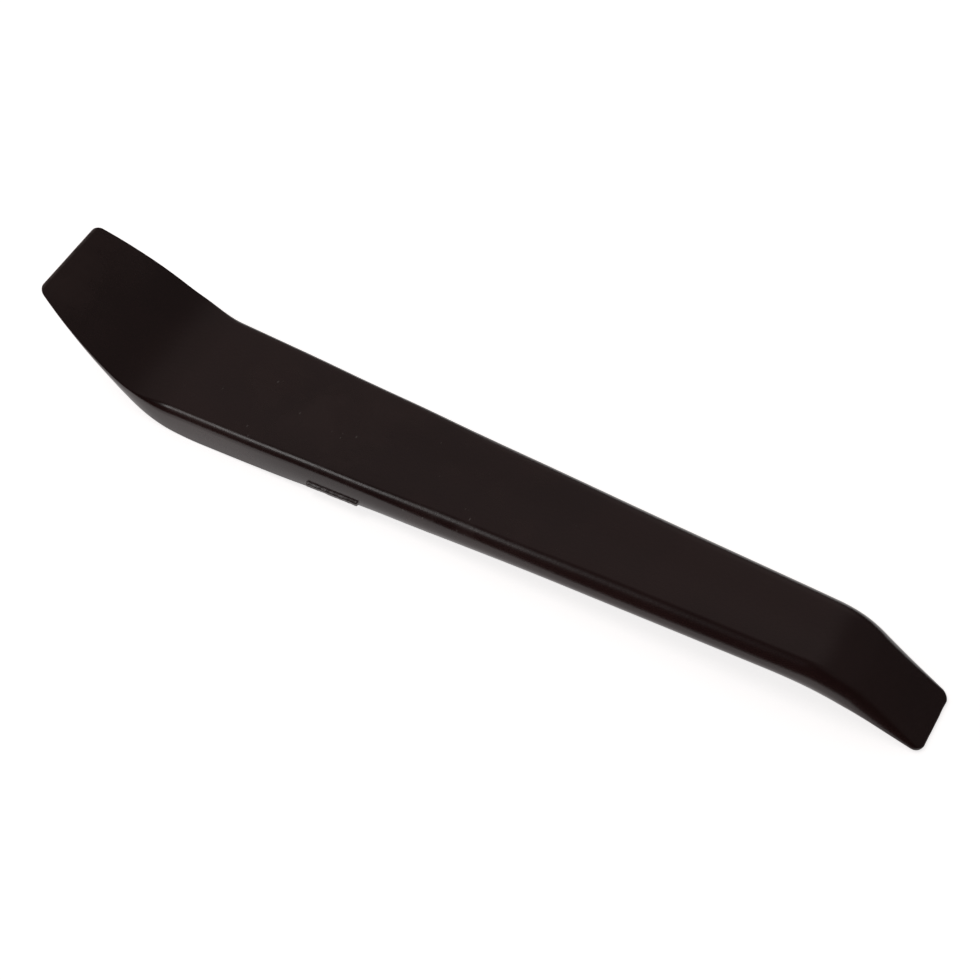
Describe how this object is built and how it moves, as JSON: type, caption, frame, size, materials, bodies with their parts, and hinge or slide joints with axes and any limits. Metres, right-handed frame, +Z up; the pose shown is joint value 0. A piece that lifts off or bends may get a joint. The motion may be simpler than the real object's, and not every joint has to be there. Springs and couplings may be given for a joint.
{
  "type": "spudger",
  "caption": "Double-ended plastic pry bar: wide chisel blade turned up at one end, narrow chisel blade turned down at the other, tapering flat shank.",
  "frame": {"origin": "middle of the footprint, on the surface that the bar stands on at rest", "axes": "+X along the bar towards the narrow blade, +Y across it, away from the side wall with the gate stub, +Z up"},
  "size_m": [0.082, 0.0122, 0.0087],
  "materials": {
    "black_nylon": "satin, warm black moulded nylon"
  },
  "bodies": {
    "root": {"pry_bar": "black_nylon"}
  },
  "joints": []
}
